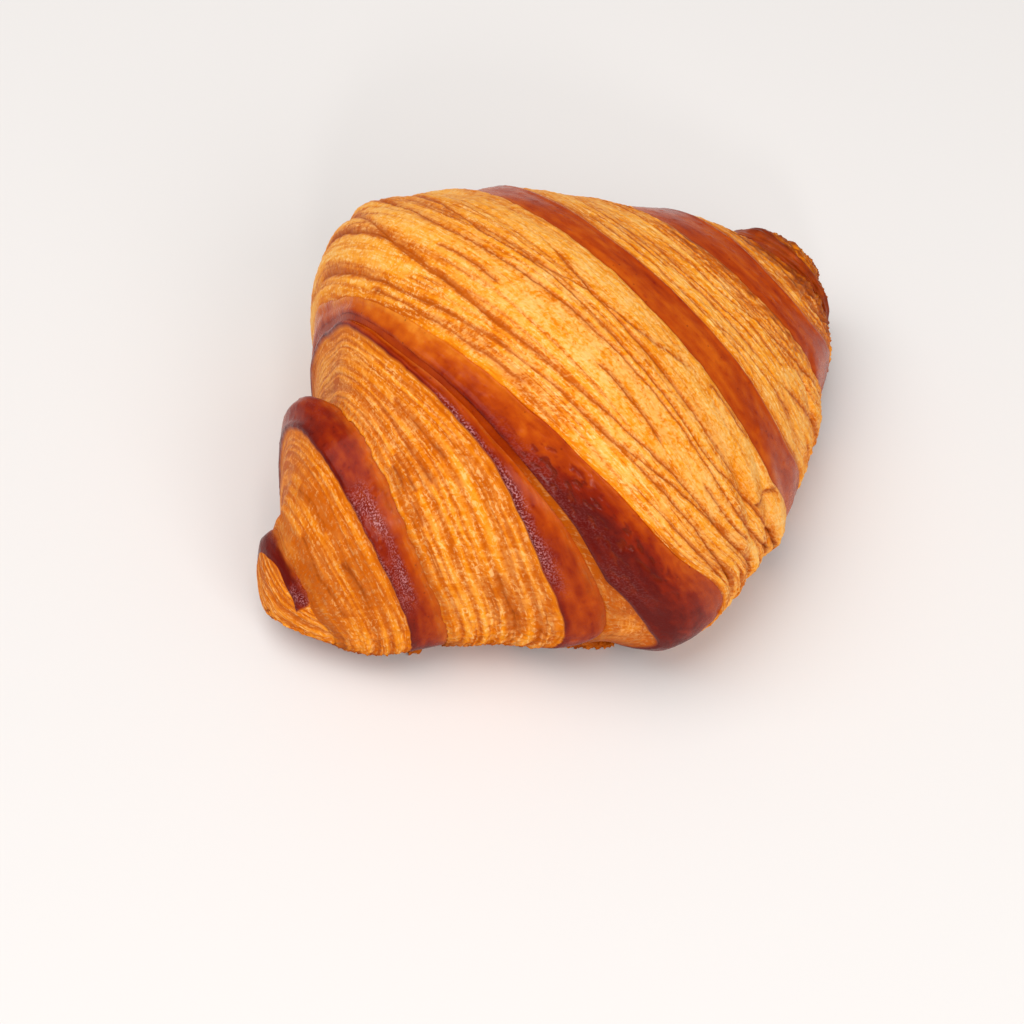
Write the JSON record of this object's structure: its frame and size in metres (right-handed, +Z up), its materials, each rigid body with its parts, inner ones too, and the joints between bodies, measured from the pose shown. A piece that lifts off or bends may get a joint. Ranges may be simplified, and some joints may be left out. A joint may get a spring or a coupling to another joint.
{
  "type": "butter croissant",
  "caption": "Plump straight butter croissant of rolled laminated dough, glossy brown skins between golden bands of open layers, with a flat baked underside.",
  "frame": {"origin": "under the middle of the croissant's bounding box, at the level of its flat underside", "axes": "+X along the roll towards its slimmer tip, +Y away from the side that the picture shows, +Z up"},
  "size_m": [0.1398, 0.1122, 0.0684],
  "materials": {
    "crust": "baked butter dough, golden on the open layers and brown with a soft egg-wash gloss on the skins"
  },
  "bodies": {
    "root": {"croissant": "crust"}
  },
  "joints": []
}
